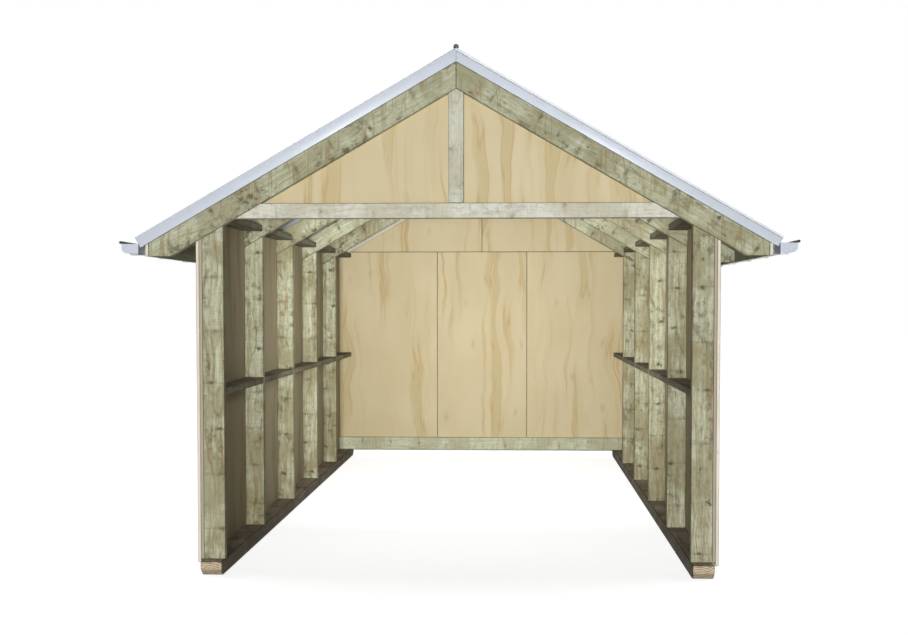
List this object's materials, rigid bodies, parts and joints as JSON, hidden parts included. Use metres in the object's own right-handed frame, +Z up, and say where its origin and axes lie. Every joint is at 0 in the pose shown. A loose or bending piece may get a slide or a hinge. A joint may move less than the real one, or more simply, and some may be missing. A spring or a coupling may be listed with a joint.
{
  "type": "timber carport",
  "caption": "Open-fronted pitched-roof carport of timber portal frames on skid runners, with plywood-lined walls and back, corrugated roof, gutters and barge flashings.",
  "frame": {"origin": "centre of the outline at ground level, under the runners", "axes": "+Y along the runners from the open front to the back wall, +X to the right seen from the front, +Z up"},
  "size_m": [4.709, 6.25, 3.6718],
  "materials": {
    "runner_pine": "rough-sawn treated pine",
    "frame_pine": "treated pine, green-grey with brown streaks",
    "nog_pine": "treated pine",
    "truss_pine": "treated pine, paler green",
    "rail_pine": "treated pine",
    "plywood": "raw plywood, warm cream with soft grain",
    "wall_plywood": "raw plywood",
    "batten_pine": "primed pine",
    "cladding_pine": "cream painted boards",
    "fascia_pine": "cream painted board",
    "purlin_pine": "treated pine",
    "gutter_steel": "bluish white paint",
    "bracket_steel": "dark grey paint",
    "roof_iron": "bluish white paint",
    "flashing_steel": "bluish white paint"
  },
  "bodies": {
    "root": {"back_bottom_rail": "rail_pine", "back_cladding": "cladding_pine", "back_gable_battens": "batten_pine", "back_gable_sheets": "plywood", "back_tie_beam": "frame_pine", "back_wall_studs": "frame_pine", "front_gable_sheets": "plywood", "king_post": "truss_pine", "left_back_barge": "flashing_steel", "left_back_runner": "runner_pine", "left_back_sheet": "plywood", "left_cladding": "cladding_pine", "left_fascia": "fascia_pine", "left_front_barge": "flashing_steel", "left_front_runner": "runner_pine", "left_gutter": "gutter_steel", "left_gutter_brackets": "bracket_steel", "left_mid_nogs": "nog_pine", "left_purlins": "purlin_pine", "left_rafters": "frame_pine", "left_roof_sheet": "roof_iron", "left_studs": "frame_pine", "left_top_nogs": "nog_pine", "left_wall_sheets": "wall_plywood", "middle_back_sheet": "plywood", "ridge_cap": "flashing_steel", "right_back_barge": "flashing_steel", "right_back_runner": "runner_pine", "right_back_sheet": "plywood", "right_cladding": "cladding_pine", "right_fascia": "fascia_pine", "right_front_barge": "flashing_steel", "right_front_runner": "runner_pine", "right_gutter": "gutter_steel", "right_gutter_brackets": "bracket_steel", "right_mid_nogs": "nog_pine", "right_purlins": "purlin_pine", "right_rafters": "frame_pine", "right_roof_sheet": "roof_iron", "right_studs": "frame_pine", "right_top_nogs": "nog_pine", "right_wall_sheets": "wall_plywood", "tie_beam": "truss_pine"}
  },
  "joints": []
}
